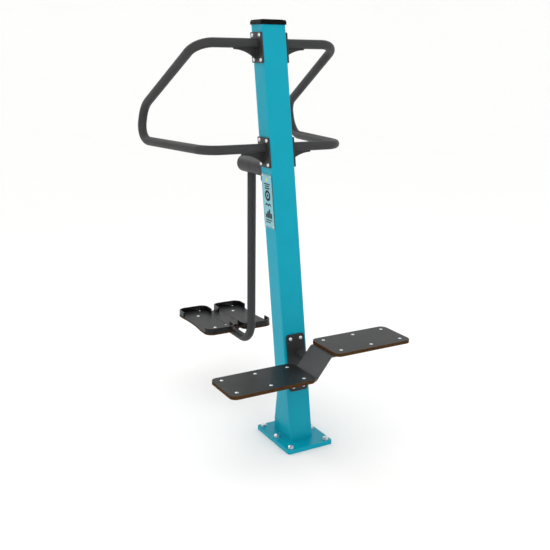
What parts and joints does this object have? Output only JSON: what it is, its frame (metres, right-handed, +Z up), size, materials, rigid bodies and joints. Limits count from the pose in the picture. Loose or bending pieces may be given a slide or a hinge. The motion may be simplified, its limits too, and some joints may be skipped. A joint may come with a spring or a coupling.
{
  "type": "outdoor hip swing and stepper",
  "caption": "Outdoor exercise station: leaning post on a base plate with side handle loops, a standing board that swings under a bearing hub, and fixed stepping boards at different heights.",
  "frame": {"origin": "middle of the base plate's underside, on the foundation", "axes": "+Z up, +Y towards the swinging board, behind the post, +X towards the upper stepping board"},
  "size_m": [0.9284, 1.243, 1.92],
  "materials": {
    "teal_paint": "satin powder coat",
    "grey_paint": "fine-textured powder coat",
    "plate_paint": "satin powder coat",
    "black_plastic": "matt",
    "black_rubber": "matt",
    "printed_plate": "printed, satin",
    "film_plywood": "grey grip film on both faces, bare plywood edges",
    "bright_steel": "bright zinc plated"
  },
  "bodies": {
    "stand": {"base_plate": "teal_paint", "post_tube": "teal_paint", "left_foot_gusset": "teal_paint", "right_foot_gusset": "teal_paint", "top_cap": "black_plastic", "anchor_washers": "bright_steel", "anchor_nuts": "bright_steel", "post_inserts": "bright_steel", "left_handle_tube": "grey_paint", "right_handle_tube": "grey_paint", "left_upper_flange": "plate_paint", "right_upper_flange": "plate_paint", "left_lower_flange": "plate_paint", "right_lower_flange": "plate_paint", "left_upper_gusset": "plate_paint", "right_upper_gusset": "plate_paint", "left_lower_gusset": "plate_paint", "right_lower_gusset": "plate_paint", "handle_bolts": "bright_steel", "sign_plate": "printed_plate", "sign_rivets": "bright_steel", "hub_flange": "plate_paint", "hub_flange_bolts": "bright_steel", "hub_fixed_sleeve": "grey_paint", "hub_stop_disc": "grey_paint", "stop_buffers": "black_rubber", "hub_axle": "bright_steel", "hub_collar": "bright_steel", "bearing_inner_rings": "bright_steel", "bearing_balls": "bright_steel", "hub_spacer": "bright_steel", "hub_washer": "bright_steel", "hub_nut": "bright_steel", "step_flange": "plate_paint", "step_flange_bolts": "bright_steel", "step_arm": "grey_paint", "step_arm_plug": "grey_paint", "step_carrier": "plate_paint", "step_ribs": "plate_paint", "lower_step_board": "film_plywood", "upper_step_board": "film_plywood", "step_board_bolts": "bright_steel", "step_board_nuts": "bright_steel"},
    "swing": {"swing_sleeve": "grey_paint", "bearing_outer_rings": "bright_steel", "stop_pin": "bright_steel", "hub_end_cap": "grey_paint", "swing_tube": "grey_paint", "swing_tube_plug": "black_plastic", "foot_carrier": "plate_paint", "foot_ribs": "plate_paint", "foot_board": "film_plywood", "left_rear_rim": "black_plastic", "right_rear_rim": "black_plastic", "left_front_rim": "black_plastic", "right_front_rim": "black_plastic", "foot_board_bolts": "bright_steel", "foot_board_nuts": "bright_steel", "rim_screws": "bright_steel"}
  },
  "joints": [
    {"name": "hip_swing", "type": "hinge", "parent": "stand", "child": "swing", "pos_m": [0, 0.442, 1.255], "axis": [0, 1, 0], "range_deg": [-30, 30]}
  ]
}
